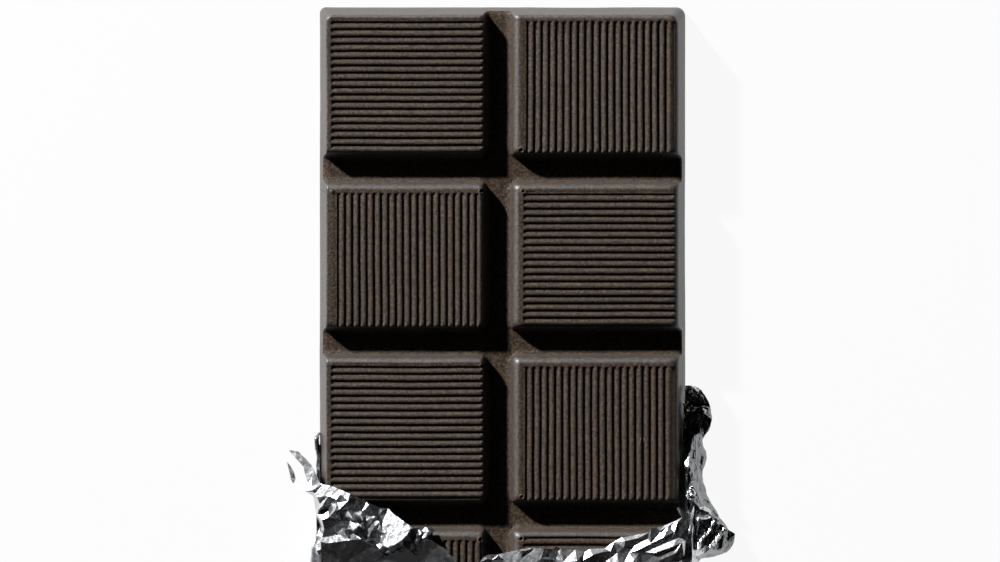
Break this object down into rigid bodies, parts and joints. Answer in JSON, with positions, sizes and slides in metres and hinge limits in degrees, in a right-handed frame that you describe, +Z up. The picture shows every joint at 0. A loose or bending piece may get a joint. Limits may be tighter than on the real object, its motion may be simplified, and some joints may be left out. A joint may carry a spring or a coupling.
{
  "type": "chocolate bar",
  "caption": "Flat bar of dark chocolate with ribbed squares and deep grooves between them, one end still in a torn, crumpled sleeve of aluminium foil.",
  "frame": {"origin": "on the surface the bar lies on, under the middle of the whole's bounding box", "axes": "+Z up out of the ribbed face, +Y along the bar towards its bare end, +X across it"},
  "size_m": [0.093, 0.1414, 0.0134],
  "materials": {
    "chocolate": "satin dark chocolate with light sugar and fat bloom specks",
    "foil": "bright, crumpled"
  },
  "bodies": {
    "root": {"chocolate_bar": "chocolate", "foil_wrapper": "foil"}
  },
  "joints": []
}
